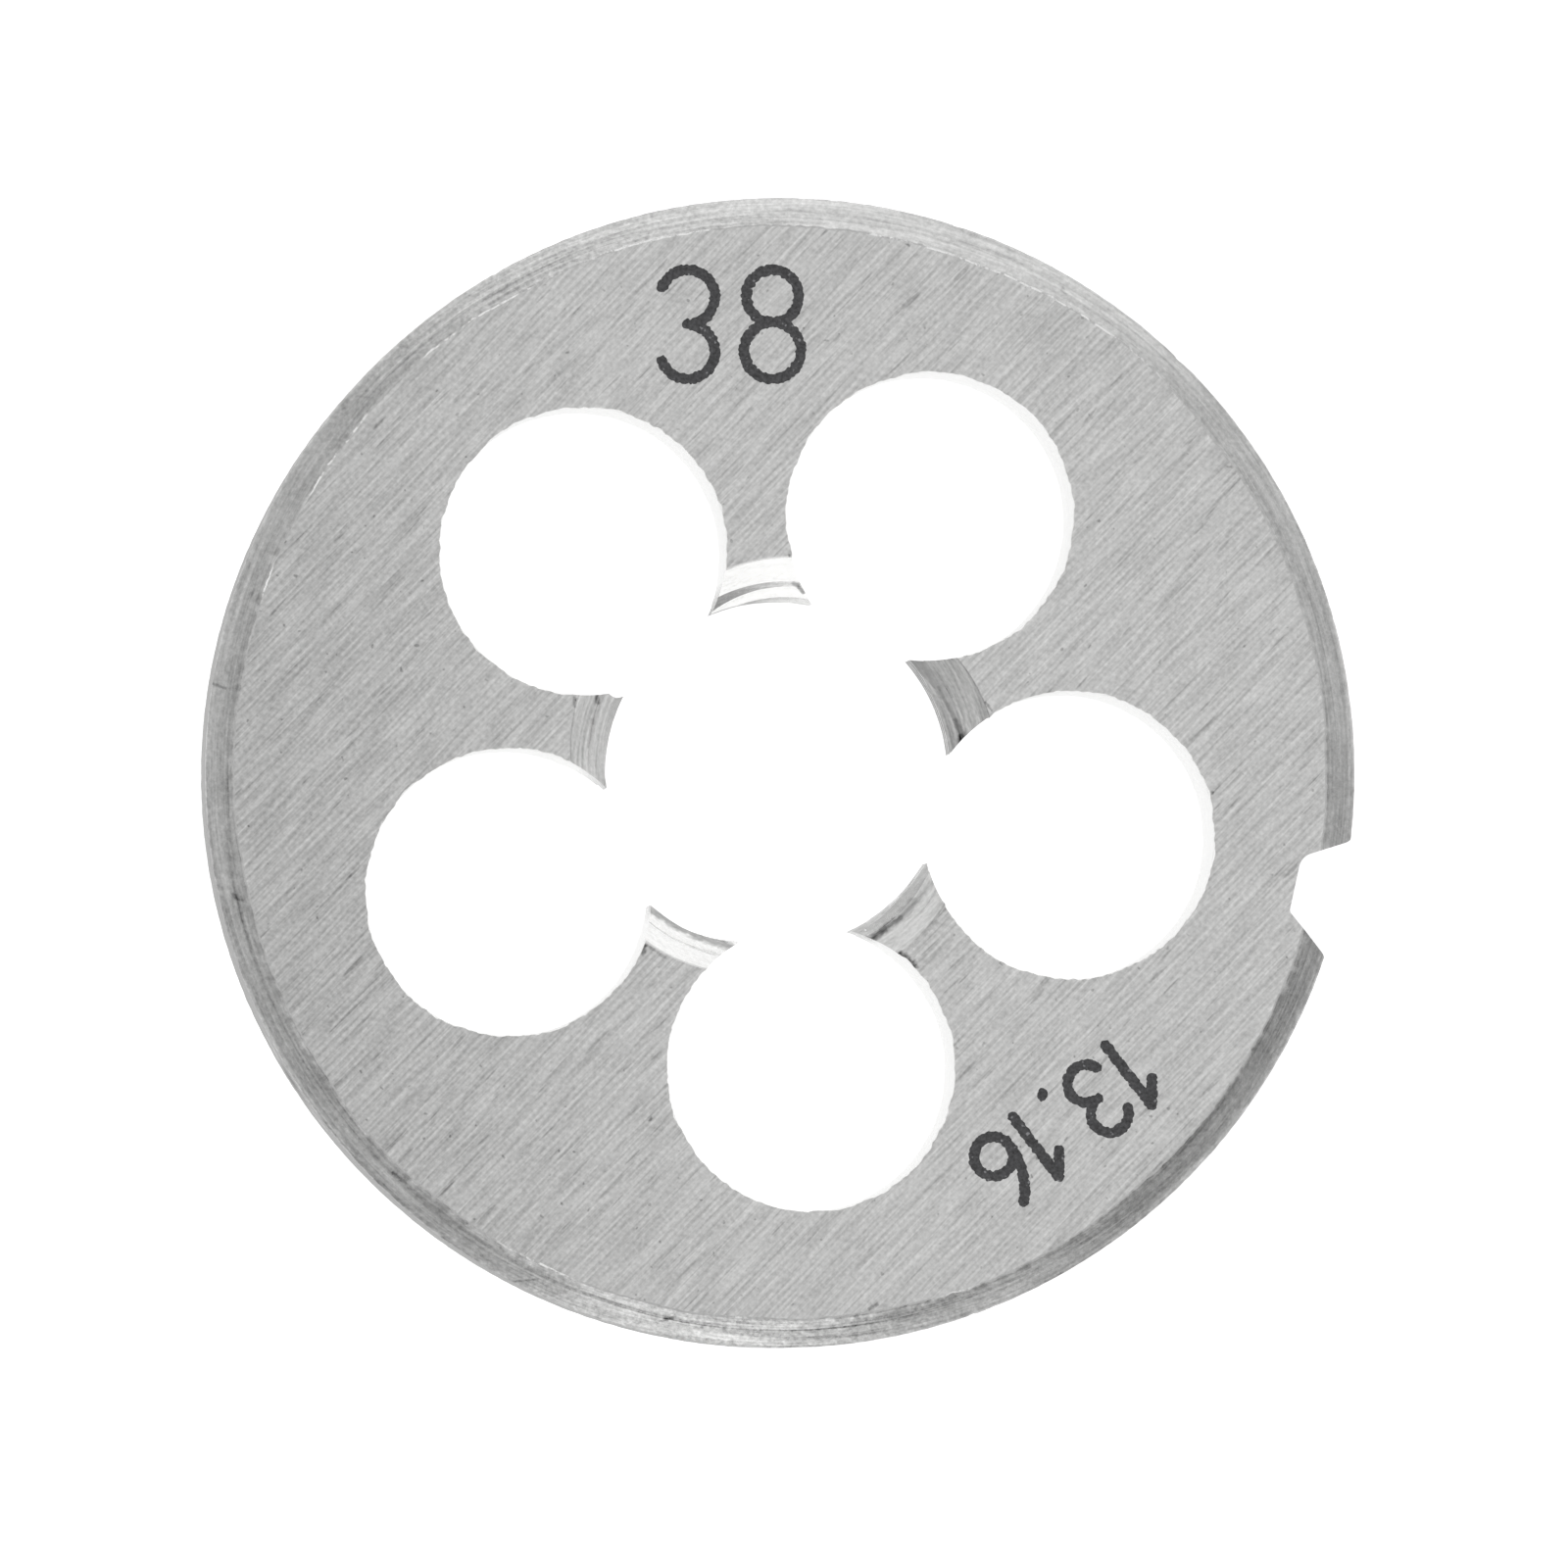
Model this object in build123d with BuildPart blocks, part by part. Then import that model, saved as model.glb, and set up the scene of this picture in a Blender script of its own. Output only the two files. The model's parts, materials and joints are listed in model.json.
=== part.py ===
from build123d import *
import os
from math import acos, ceil, degrees, radians, sin, tan

# Round threading die for the G 1/4 pipe thread, cut from one piece of tool steel.
# The disc lies on its back face: the origin is the centre of that face, +Z is the axis of the
# thread and points out of the starting face, and +X points at the rim groove.

# Disc, in millimetres and degrees like every size below
body_diameter = 38.0
thickness = 10.0
rim_chamfer = 0.9

# Chip holes, evenly spaced, one of them in line with the rim groove
chip_hole_count = 5
chip_hole_diameter = 9.5
land_neck = 2.02

# Whitworth pipe thread, right hand
thread_major_diameter = 13.157
threads_per_inch = 19
thread_flank_angle = 27.5
thread_start_height = -0.255

# Tapered lead-in at each face, relieved behind the cutting edge of every land
lead_in_mouth_diameter = 13.92
lead_in_half_angle = 25.0
relief_offset = 1.6
relief_turn = 18.0

# Adjusting groove across the rim
groove_floor_width = 1.85
groove_depth = 1.6
groove_angle = 68.0
groove_lean = 4.5
groove_upper_radius = 0.5
groove_lower_radius = 0.15
groove_mouth_radius = 0.15

# Conical seats for the clamping screws of the die stock, at mid thickness
seat_diameter = 4.0
seat_cone_angle = 90.0
seat_angles = (60.0, 135.0)

# What follows from those sizes
overshoot = 0.1
body_radius = body_diameter / 2
chip_hole_radius = chip_hole_diameter / 2
land_step = 360 / chip_hole_count
chip_hole_circle = (chip_hole_radius + land_neck / 2) / sin(radians(land_step / 2))

flank_slope = tan(radians(thread_flank_angle))
thread_pitch = 25.4 / threads_per_inch
sharp_height = thread_pitch / 2 / flank_slope
major_radius = thread_major_diameter / 2
minor_radius = major_radius - sharp_height * 2 / 3
sharp_radius = major_radius + sharp_height / 6
thread_turns = ceil((thickness - thread_start_height) / thread_pitch)


def land_half_angle(radius):
    """Half the angle that one land fills on a circle of this radius about the axis."""
    reach = radius**2 + chip_hole_circle**2 - chip_hole_radius**2
    return land_step / 2 - degrees(acos(reach / (2 * radius * chip_hole_circle)))


# The relieved cone of one land stands off the axis, towards a point behind the land's middle, so
# that it is tightest at the cutting edge and opens towards the heel
mouth_radius = lead_in_mouth_diameter / 2
cutting_corner = Vector(mouth_radius, 0).rotate(Axis.Z, land_half_angle(mouth_radius))
relief_axis = Vector(relief_offset, 0).rotate(Axis.Z, -relief_turn)
cone_slope = tan(radians(lead_in_half_angle))
cone_mouth_radius = (cutting_corner - relief_axis).length
cone_tip_radius = minor_radius - relief_offset - overshoot
cone_depth = (cone_mouth_radius - cone_tip_radius) / cone_slope

with BuildPart() as lead_in:
    # The relieved cones of all lands, standing upright with their mouths on the starting face
    with Locations((0, 0, thickness)):
        with PolarLocations(relief_offset, chip_hole_count, start_angle=land_step / 2 - relief_turn):
            Cone(
                cone_tip_radius,
                cone_mouth_radius,
                cone_depth,
                align=(Align.CENTER, Align.CENTER, Align.MAX),
            )

with BuildPart() as thread_groove:
    # The V between two crests, flat at its root, swept up the right-hand helix
    with BuildLine() as helix:
        Helix(
            thread_pitch,
            thread_turns * thread_pitch,
            minor_radius,
            center=(0, 0, thread_start_height),
        )
    inner_radius = minor_radius - overshoot
    mouth_half = (sharp_radius - inner_radius) * flank_slope
    root_half = (sharp_radius - major_radius) * flank_slope
    with BuildSketch(Plane.XZ):
        with BuildLine():
            Polyline(
                (inner_radius, thread_start_height - mouth_half),
                (major_radius, thread_start_height - root_half),
                (major_radius, thread_start_height + root_half),
                (inner_radius, thread_start_height + mouth_half),
                close=True,
            )
        make_face()
    sweep(path=helix.wire(), is_frenet=True)

with BuildPart() as die_body:
    # Disc with a turned chamfer at both faces
    Cylinder(body_radius, thickness, align=(Align.CENTER, Align.CENTER, Align.MIN))
    chamfer(edges().filter_by(GeomType.CIRCLE), rim_chamfer)

    # Adjusting groove, its two walls a little out of square with the radius
    floor_half = groove_floor_width / 2
    floor_x = body_radius - groove_depth
    mouth_x = body_radius + overshoot
    upper_run = (mouth_x - floor_x) * tan(radians(groove_angle / 2 - groove_lean))
    lower_run = (mouth_x - floor_x) * tan(radians(groove_angle / 2 + groove_lean))
    with BuildSketch() as rim_groove:
        with BuildLine():
            Polyline(
                (floor_x, -floor_half),
                (mouth_x, -floor_half - lower_run),
                (mouth_x, floor_half + upper_run),
                (floor_x, floor_half),
                close=True,
            )
        make_face()
        fillet(rim_groove.vertices().group_by(Axis.X)[0].sort_by(Axis.Y)[-1], groove_upper_radius)
        fillet(rim_groove.vertices().group_by(Axis.X)[0].sort_by(Axis.Y)[0], groove_lower_radius)
    extrude(amount=thickness, mode=Mode.SUBTRACT)
    fillet(edges().filter_by(Axis.Z).group_by(Axis.X)[-1], groove_mouth_radius)

    # Screw seats, each a cone sunk square into the rim, in pairs either side of the groove
    seat_slope = tan(radians(seat_cone_angle / 2))
    seat_depth = seat_diameter / 2 / seat_slope + overshoot
    for angle in (side * seat for seat in seat_angles for side in (1, -1)):
        outward = Vector(1, 0, 0).rotate(Axis.Z, angle)
        seat_mouth = outward * (body_radius + overshoot) + Vector(0, 0, thickness / 2)
        with Locations(Plane(seat_mouth, z_dir=outward)):
            Cone(
                0,
                seat_depth * seat_slope,
                seat_depth,
                align=(Align.CENTER, Align.CENTER, Align.MAX),
                mode=Mode.SUBTRACT,
            )

    # Threaded bore with its lead-ins; the back one is the front one turned over
    Hole(minor_radius)
    add(thread_groove.part, mode=Mode.SUBTRACT)
    add(lead_in.part, mode=Mode.SUBTRACT)
    add(lead_in.part.rotate(Axis((0, 0, thickness / 2), (1, 0, 0)), 180), mode=Mode.SUBTRACT)

    # Chip holes, which part the thread into separate lands
    with PolarLocations(chip_hole_circle, chip_hole_count):
        Hole(chip_hole_radius)

die_body.part.label = "die_body"
os.makedirs("parts", exist_ok=True)
export_step(die_body.part, "parts/die_body.step")
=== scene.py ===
"""Dresses the round threading die: the cut steel body with its finishes, and the stage."""

import json
import math

import bmesh
import bpy
from bpy.props import FloatProperty, FloatVectorProperty, IntProperty, PointerProperty
from mathutils import Matrix, Vector, noise


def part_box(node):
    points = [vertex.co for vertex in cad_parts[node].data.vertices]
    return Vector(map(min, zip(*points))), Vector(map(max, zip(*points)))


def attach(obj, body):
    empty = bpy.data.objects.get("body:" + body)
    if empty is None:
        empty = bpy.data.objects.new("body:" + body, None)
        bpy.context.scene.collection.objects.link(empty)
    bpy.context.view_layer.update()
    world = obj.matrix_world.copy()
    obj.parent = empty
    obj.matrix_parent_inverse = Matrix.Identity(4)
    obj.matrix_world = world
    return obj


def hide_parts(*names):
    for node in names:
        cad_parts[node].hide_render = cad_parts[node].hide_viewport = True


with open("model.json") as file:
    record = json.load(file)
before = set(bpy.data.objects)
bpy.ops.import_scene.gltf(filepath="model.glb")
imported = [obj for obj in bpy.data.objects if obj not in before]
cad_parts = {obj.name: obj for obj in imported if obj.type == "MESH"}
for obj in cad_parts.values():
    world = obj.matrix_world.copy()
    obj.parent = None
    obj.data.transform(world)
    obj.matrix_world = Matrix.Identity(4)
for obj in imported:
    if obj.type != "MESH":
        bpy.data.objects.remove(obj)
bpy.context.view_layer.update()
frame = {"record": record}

bl_info = {
    "name": "Round threading die",
    "version": (1, 0, 0),
    "blender": (4, 5, 0),
    "location": "View3D > Sidebar > Die",
    "description": "Builds a round threading die and its studio stage",
    "category": "Add Mesh",
}

MM = 0.001
NODE = "die_body"
BOX_LOW, BOX_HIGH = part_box(NODE)
MOUNTS = {mount["name"]: mount for mount in frame["record"]["mounts"]}
HOLE_BOXES = [
    opening["box_m"]
    for opening in frame["record"]["physics"]["openings"]
    if opening["name"].startswith("chip_hole")
]


def box_centre_radius(box):
    """Distance of an opening's centre from the die's axis."""
    return math.hypot((box[0][0] + box[1][0]) / 2, (box[0][1] + box[1][1]) / 2)


def length(name, value, description):
    """A length in metres that the user can change."""
    return FloatProperty(name=name, description=description, default=value, unit="LENGTH", precision=6)


def angle(name, degrees, description):
    """An angle that the user can change."""
    return FloatProperty(name=name, description=description, default=math.radians(degrees), unit="ROTATION")


def colour_choice(name, value, description):
    """A colour that the user can change."""
    return FloatVectorProperty(name=name, description=description, default=value, subtype="COLOR")


class DieSizes(bpy.types.PropertyGroup):
    """Sizes of the steel body."""

    rim_radius: length("Rim radius", MOUNTS["rim"]["dims"]["r_mm"] * MM, "Radius of the turned rim")
    thickness: length("Thickness", BOX_HIGH.z - BOX_LOW.z, "From the back face to the starting face")
    chamfer: length("Chamfer", 0.9 * MM, "Width of the rim's chamfer")
    tool_line: length("Tool line", 0.58 * MM, "From the rim to the line that a tool left in the chamfer")
    edge_wear: length("Edge wear", 0.06 * MM, "Width of the worn edge between a face and its chamfer")
    corner_radius: length("Corner radius", 0.06 * MM, "Rounding between a chamfer and the rim")
    hole_count: IntProperty(name="Chip holes", description="Number of chip holes", default=len(HOLE_BOXES))
    hole_radius: length("Hole radius", 4.75 * MM, "Radius of a chip hole")
    hole_circle: length("Hole circle", box_centre_radius(HOLE_BOXES[0]), "Radius of the chip holes' circle")
    crest_radius: length(
        "Crest radius", MOUNTS["thread_crests"]["dims"]["r_mm"] * MM, "Radius at the thread's crests"
    )
    root_radius: length("Root radius", 6.5785 * MM, "Radius at the thread's roots")
    root_flat: length("Root flat", 0.04 * MM, "Width of the thread's groove at its root")
    pitch: length("Pitch", 25.4 / 19 * MM, "Rise of the thread in one turn")
    flank_angle: angle("Flank angle", 27.5, "Slope of a thread flank")
    thread_start: length("Thread start", -0.255 * MM, "Height of the thread's groove over the rim groove")
    mouth_radius: length("Mouth radius", 6.96 * MM, "Radius of the lead-in at a cutting edge")
    lead_angle: angle("Lead angle", 25.0, "Slope of the lead-in")
    relief_offset: length("Relief offset", 1.6 * MM, "How far a land's cone stands off the axis")
    relief_turn: angle("Relief turn", 18.0, "How far behind the land the cone is moved")
    groove_floor: length("Groove floor", 1.85 * MM, "Width of the rim groove's floor")
    groove_depth: length("Groove depth", 1.6 * MM, "Depth of the rim groove")
    groove_angle: angle("Groove angle", 68.0, "Angle between the rim groove's walls")
    groove_lean: angle("Groove lean", 4.5, "How far the rim groove leans over")
    seat_radius: length("Seat radius", 2.0 * MM, "Radius of a screw seat in the rim")
    mark_width: length("Mark width", 0.36 * MM, "Width of an etched stroke")
    mark_depth: length("Mark depth", 0.035 * MM, "Depth of an etched stroke")


class DieFinish(bpy.types.PropertyGroup):
    """Colours and roughness of the steel."""

    steel: colour_choice("Steel", (0.555, 0.555, 0.55), "Colour of the ground steel")
    etch: colour_choice("Etch", (0.075, 0.075, 0.078), "Colour of the etched numbers")
    face_roughness: FloatProperty(
        name="Face roughness", description="Roughness of the ground faces", default=0.34, subtype="FACTOR"
    )
    grind_angle: angle("Grinding angle", 58.0, "Direction of the grinding lines on the faces")


class DieStage(bpy.types.PropertyGroup):
    """Floor, lights and camera."""

    floor: colour_choice("Floor", (0.35, 0.35, 0.35), "Colour of the floor")
    turn: angle("Picture turn", 12.2, "How far the die is turned in the picture")
    distance: length("Camera distance", 1.5, "From the camera to the starting face")
    frame_width: length("Picture width", 51.78 * MM, "Width of the picture at the starting face")
    lean_left: angle("Lean left", 1.67, "How far the camera stands to the left of the axis")
    lean_down: angle("Lean down", 0.74, "How far the camera stands below the axis")


# ---------------------------------------------------------------- meshes


# How finely the rounds are divided: the blank, and then each cutter
BLANK_SEGMENTS = 1440
HOLE_SEGMENTS = 360
BORE_SEGMENTS = 288
CONE_SEGMENTS = 240
WORN_SEGMENTS = 180
THREAD_STEPS_PER_TURN = 120
SEAT_SEGMENTS = 96
STROKE_SEGMENTS = 32
BALL_LEVELS = 4


def new_object(name, bm, *materials):
    """A mesh object from a bmesh, with its normals outward."""
    bmesh.ops.recalc_face_normals(bm, faces=bm.faces[:])
    mesh = bpy.data.meshes.new(name)
    bm.to_mesh(mesh)
    bm.free()
    for material in materials:
        mesh.materials.append(material)
    obj = bpy.data.objects.new(name, mesh)
    bpy.context.scene.collection.objects.link(obj)
    return obj


def turned(rings, segments, shift=None, finishes=None):
    """A closed solid of revolution about Z.

    Rings are (radius, height), shift moves a point of a ring, and finishes gives the material
    index of the band before each ring.
    """
    bm = bmesh.new()
    radius, height = rings[0]
    bmesh.ops.create_circle(bm, cap_ends=True, segments=segments, radius=radius)
    bmesh.ops.translate(bm, verts=bm.verts[:], vec=(0, 0, height))
    ring_verts = [bm.verts[:]]
    edges = bm.edges[:]
    for step, (radius, height) in enumerate(rings[1:]):
        grown = bmesh.ops.extrude_edge_only(bm, edges=edges)["geom"]
        for item in grown:
            if finishes and isinstance(item, bmesh.types.BMFace):
                item.material_index = finishes[step]
        edges = [item for item in grown if isinstance(item, bmesh.types.BMEdge) and item.is_boundary]
        verts = [item for item in grown if isinstance(item, bmesh.types.BMVert)]
        for vert in verts:
            vert.co = vert.co.xy.normalized().to_3d() * radius + Vector((0, 0, height))
        ring_verts.append(verts)
    bmesh.ops.edgeloop_fill(bm, edges=edges)
    if shift:
        for index, verts in enumerate(ring_verts):
            for vert in verts:
                around = math.atan2(vert.co.y, vert.co.x)
                out, up = shift(index, around)
                vert.co += vert.co.xy.normalized().to_3d() * out + Vector((0, 0, up))
    return bm


def ripple(around, radius, wave, seed):
    """Smooth seeded noise from -1 to 1 along a circle, one wave about every `wave` metres."""
    reach = radius / wave
    return noise.noise(Vector((math.cos(around) * reach, math.sin(around) * reach, seed)))


# Small knocks on the rim's corner: direction in degrees, half width and depth in millimetres
RIM_KNOCKS = (
    (58.4, 0.55, 0.045),
    (84.5, 0.35, 0.035),
    (132.0, 0.20, 0.030),
    (204.5, 0.30, 0.035),
    (239.5, 0.25, 0.030),
    (284.8, 0.50, 0.060),
    (302.0, 0.25, 0.035),
)


def knock_at(around, radius):
    """How deep the rim is knocked in at this direction: steep on one side, easy on the other."""
    depth = 0.0
    for degrees, half_width, deepest in RIM_KNOCKS:
        away = math.remainder(around - math.radians(degrees), math.tau) * radius / (half_width * MM)
        if -1 < away < 0.25:
            depth += deepest * MM * (1 + away if away < 0 else 1 - 4 * away)
    return depth


def blank(sizes, *materials):
    """The turned disc: two faces, a worn edge and a chamfer round each, and the rim."""
    rim, chamfer, edge, corner = sizes.rim_radius, sizes.chamfer, sizes.edge_wear, sizes.corner_radius
    # One face's rings as radius and depth: its worn edge, the chamfer and the rounded corner
    half = [(rim - chamfer - edge, 0.0), (rim - chamfer, edge * 0.22)]
    steps = 6
    low = half[1]
    high = (rim - corner * 0.7, chamfer - corner * 0.7)
    for step in range(1, steps + 1):
        share = step / steps
        half.append((low[0] + (high[0] - low[0]) * share, low[1] + (high[1] - low[1]) * share))
    half += [(rim - corner * 0.2, chamfer - corner * 0.1), (rim, chamfer + corner * 0.6)]
    rings = [(radius, sizes.thickness - depth) for radius, depth in half]
    rings += [(radius, depth) for radius, depth in reversed(half)]
    finishes = [1] + [2] * (len(half) - 2) + [3] + [2] * (len(half) - 2) + [1]
    last = len(rings) - 1
    # How much of the burr is on the first ring of a face, and on the ring at its edge
    burr_share = {0: 0.5, 1: 1.0}

    def shift(index, around):
        """The edge of the face wanders a little and is burred, and the rim's corner is knocked."""
        step = min(index, last - index)
        side = 1 if index <= last / 2 else -1
        share = max(0.0, 1 - max(0, step - 1) / steps)
        wander = 0.11 * ripple(around, rim, 6.0 * MM, 3.1 * side)
        wander += 0.05 * ripple(around, rim, 1.3 * MM, 8.0 * side)
        burr = 0.05 * ripple(around, rim, 0.25 * MM, 12.0 * side) * burr_share.get(step, 0.0)
        grain = 0.012 * ripple(around, rim, 0.3 * MM, 20.0 + index)
        knock = knock_at(around, rim) * max(0.0, (step - 4) / 5) if side > 0 else 0
        return (wander * share + burr + grain) * MM - knock, 0

    return new_object("die_blank", turned(rings, BLANK_SEGMENTS, shift, finishes), *materials)


def chip_hole_cutter(sizes, index, material):
    """A drill for one chip hole, its edges a little ragged at both faces."""
    reach = 0.3 * MM
    radius, top = sizes.hole_radius, sizes.thickness
    lip = 0.02 * MM
    rings = [
        (radius + lip, top + reach),
        (radius + lip, top),
        (radius, top - 2 * lip),
        (radius, top - reach),
        (radius, reach),
        (radius, 2 * lip),
        (radius + lip, 0),
        (radius + lip, -reach),
    ]

    def shift(ring, around):
        """Only the rings at the faces are ragged."""
        if ring in (3, 4):
            return 0, 0
        seed, strength = (index * 7.7, 1.0) if ring < 4 else (index * 7.7 + 50, 0.3)
        ragged = 0.05 * ripple(around, radius, 0.9 * MM, seed)
        ragged += 0.05 * ripple(around, radius, 0.2 * MM, seed + 3)
        return ragged * strength * MM, 0

    bm = turned(rings, HOLE_SEGMENTS, shift)
    turn = math.tau / sizes.hole_count * index
    centre = Vector((math.cos(turn), math.sin(turn), 0)) * sizes.hole_circle
    bmesh.ops.translate(bm, verts=bm.verts[:], vec=centre)
    return new_object(f"chip_hole_{index}", bm, material)


# Where the lands are worn back over the whole thickness: one corner broken off, and one crest ground
# away towards its heel, as the centre and radius of the round that is missing, in millimetres
WORN_ROUNDS = (((-5.81, 1.71), 0.39), ((-0.97, -1.50), 4.28))


def worn_round_cutter(sizes, centre, radius, material):
    """An upright round with a slightly uneven wall."""
    steps = 30
    uneven, wave = 0.015 * MM, 0.3 * MM
    height = sizes.thickness + 2 * MM
    rings = [(radius * MM, height * (1 - step / steps) - MM) for step in range(steps + 1)]

    def shift(ring, around):
        return uneven * ripple(around, radius * MM, wave, ring * 0.8), 0

    bm = turned(rings, WORN_SEGMENTS, shift)
    bmesh.ops.translate(bm, verts=bm.verts[:], vec=(centre[0] * MM, centre[1] * MM, 0))
    return new_object("worn_round", bm, material)


def bore_cutter(sizes, material):
    """A plain bore on the thread's crests."""
    reach = 1.0 * MM
    steps = 24
    uneven, wave = 0.012 * MM, 0.35 * MM
    top = sizes.thickness + reach
    span = sizes.thickness + 2 * reach
    rings = [(sizes.crest_radius, top - span * step / steps) for step in range(steps + 1)]

    def shift(ring, around):
        return uneven * ripple(around, sizes.crest_radius, wave, ring * 1.9), 0

    return new_object("bore", turned(rings, BORE_SEGMENTS, shift), material)


def thread_cutter(sizes, material):
    """The thread's groove: a flat-rooted V swept up a right-hand helix."""
    slope = math.tan(sizes.flank_angle)
    inner = sizes.crest_radius - 0.1 * MM
    root = sizes.root_flat / 2
    mouth = root + (sizes.root_radius - inner) * slope
    turns = math.ceil((sizes.thickness - sizes.thread_start) / sizes.pitch)
    steps = turns * THREAD_STEPS_PER_TURN
    bm = bmesh.new()
    corners = [(inner, -mouth), (sizes.root_radius, -root), (sizes.root_radius, root), (inner, mouth)]
    verts = [bm.verts.new((x, 0, sizes.thread_start + z)) for x, z in corners]
    profile = bm.faces.new(verts)
    bmesh.ops.spin(
        bm,
        geom=[profile, *profile.edges, *verts],
        cent=(0, 0, 0),
        axis=(0, 0, 1),
        dvec=(0, 0, sizes.pitch * turns / steps),
        angle=math.tau * turns,
        steps=steps,
        use_duplicate=False,
    )
    return new_object("thread_groove", bm, material)


def land_half_angle(sizes, radius):
    """Half the angle that one land fills on a circle of this radius."""
    reach = radius**2 + sizes.hole_circle**2 - sizes.hole_radius**2
    return math.pi / sizes.hole_count - math.acos(reach / (2 * radius * sizes.hole_circle))


def lead_in_cutter(sizes, index, back, material):
    """The relieved cone of one land, off the axis so that it is tightest at the cutting edge."""
    half = land_half_angle(sizes, sizes.mouth_radius)
    corner = Vector((sizes.mouth_radius * math.cos(half), sizes.mouth_radius * math.sin(half)))
    off_x = sizes.relief_offset * math.cos(sizes.relief_turn)
    off_y = -sizes.relief_offset * math.sin(sizes.relief_turn)
    axis = Vector((off_x, off_y))
    mouth = (corner - axis).length
    slope = math.tan(sizes.lead_angle)
    tip = sizes.crest_radius - sizes.relief_offset - 0.1 * MM
    over = 0.2 * MM
    uneven = 0.010 * MM
    depth = (mouth - tip) / slope
    steps = 40
    rings = []
    for step in range(steps + 1):
        down = (depth + over) * step / steps - over
        rings.append((mouth - down * slope, sizes.thickness - down))

    def shift(ring, around):
        """Faint rings in the cone's wall, with its two ends left as they are."""
        if ring in (0, steps):
            return 0, 0
        return uneven * noise.noise(Vector((ring * 0.9, index * 3.3, 1.7 + back))), 0

    bm = turned(rings, CONE_SEGMENTS, shift)
    turn = math.pi / sizes.hole_count * (2 * index + 1)
    place = Matrix.Rotation(turn, 4, "Z") @ Matrix.Translation((axis.x, axis.y, 0))
    bmesh.ops.transform(bm, matrix=place, verts=bm.verts[:])
    if back:
        middle = Vector((0, 0, sizes.thickness / 2))
        bmesh.ops.rotate(bm, verts=bm.verts[:], cent=middle, matrix=Matrix.Rotation(math.pi, 3, "X"))
    return new_object(f"lead_in_{index}_{int(back)}", bm, material)


def groove_cutter(sizes, material):
    """The adjusting groove across the rim, with rounded corners at its floor and mouth."""
    rim, floor_half = sizes.rim_radius, sizes.groove_floor / 2
    floor_x = rim - sizes.groove_depth
    bm = bmesh.new()
    outline = []
    for side, lean in ((-1, 1), (1, -1)):
        slope = math.tan(sizes.groove_angle / 2 + lean * sizes.groove_lean)
        floor = Vector((floor_x, side * floor_half))
        wall = Vector((1, side * slope)).normalized()
        along = floor.dot(wall)
        reach = -along + math.sqrt(along**2 - floor.length_squared + rim**2)
        mouth = floor + wall * reach
        outward = mouth.normalized()
        beside = (Vector((-outward.y, outward.x)) * side + outward * 0.45) * MM
        points = [floor, mouth, mouth + beside, mouth + beside + outward * MM]
        outline.append([bm.verts.new((p.x, p.y, -MM)) for p in points])
    lower, upper = outline
    bm.faces.new([*lower, *reversed(upper)])
    # Corner radii in millimetres, and a bevel's offset as a share of the radius at such corners
    rounding = ((lower[0], 0.15), (upper[0], 0.5), (lower[1], 0.3), (upper[1], 0.3))
    offset_share = 0.6
    for vert, radius in rounding:
        bmesh.ops.bevel(
            bm,
            geom=[vert],
            offset=radius * MM * offset_share,
            segments=6,
            profile=0.5,
            affect="VERTICES",
            material=-1,
        )
    grown = bmesh.ops.extrude_face_region(bm, geom=bm.faces[:])["geom"]
    lifted = [item for item in grown if isinstance(item, bmesh.types.BMVert)]
    bmesh.ops.translate(bm, verts=lifted, vec=(0, 0, sizes.thickness + 2 * MM))
    return new_object("rim_groove", bm, material)


def seat_cutter(sizes, mount, material):
    """A conical screw seat sunk square into the rim."""
    over, tip = 0.1 * MM, 0.02 * MM
    depth = sizes.seat_radius + over
    bm = bmesh.new()
    bmesh.ops.create_cone(
        bm, cap_ends=True, segments=SEAT_SEGMENTS, radius1=tip, radius2=depth, depth=depth
    )
    bmesh.ops.translate(bm, verts=bm.verts[:], vec=(0, 0, over - depth / 2))
    outward = Vector(mount["axis"])
    place = Matrix.Translation(mount["pos_m"]) @ outward.to_track_quat("Z", "Y").to_matrix().to_4x4()
    bmesh.ops.transform(bm, matrix=place, verts=bm.verts[:])
    return new_object(mount["name"], bm, material)


# Strokes of the plain numbers, in shares of a digit's height: arcs as (centre x, centre y, radius,
# start degrees, sweep degrees) and straight strokes as (x, y, x, y)
DIGITS = {
    "1": ((0.0, 0.72, 0.22, 1.0), (0.22, 1.0, 0.22, 0.0)),
    "3": ((0.25, 0.75, 0.25, 160, -250), (0.25, 0.25, 0.25, 90, -250)),
    "6": ((0.26, 0.26, 0.26, 0, 360), (1.0, 0.26, 1.0, 180, -46)),
    "8": ((0.27, 0.76, 0.24, 0, 360), (0.27, 0.26, 0.26, 0, 360)),
    ".": ((0.03, 0.0, 0.05, 0.02),),
}
DIGIT_WIDTHS = {"1": 0.22, "3": 0.5, "6": 0.52, "8": 0.53, ".": 0.05}
DIGIT_GAP = 0.26
STROKE_STEP = 0.035 * MM
# How far a stroke's edge wanders, over what length, and the seed that makes it wander the same way
# on every run: Blender's vector noise is seeded from the clock otherwise, and with some seeds the
# cut leaves pinched edges in the strokes, which this one doesn't
STROKE_WANDER = 0.022 * MM
STROKE_GRAIN = 0.10 * MM
STROKE_SEED = 5
# The two numbers before the die is turned: text, centre, up and height in millimetres
NUMBERS = (
    ("38", (-1.66, 14.8), (0.0, 1.0), 3.6),
    ("13.16", (9.4, -11.6), (0.61, -0.79), 2.5),
)


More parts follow.
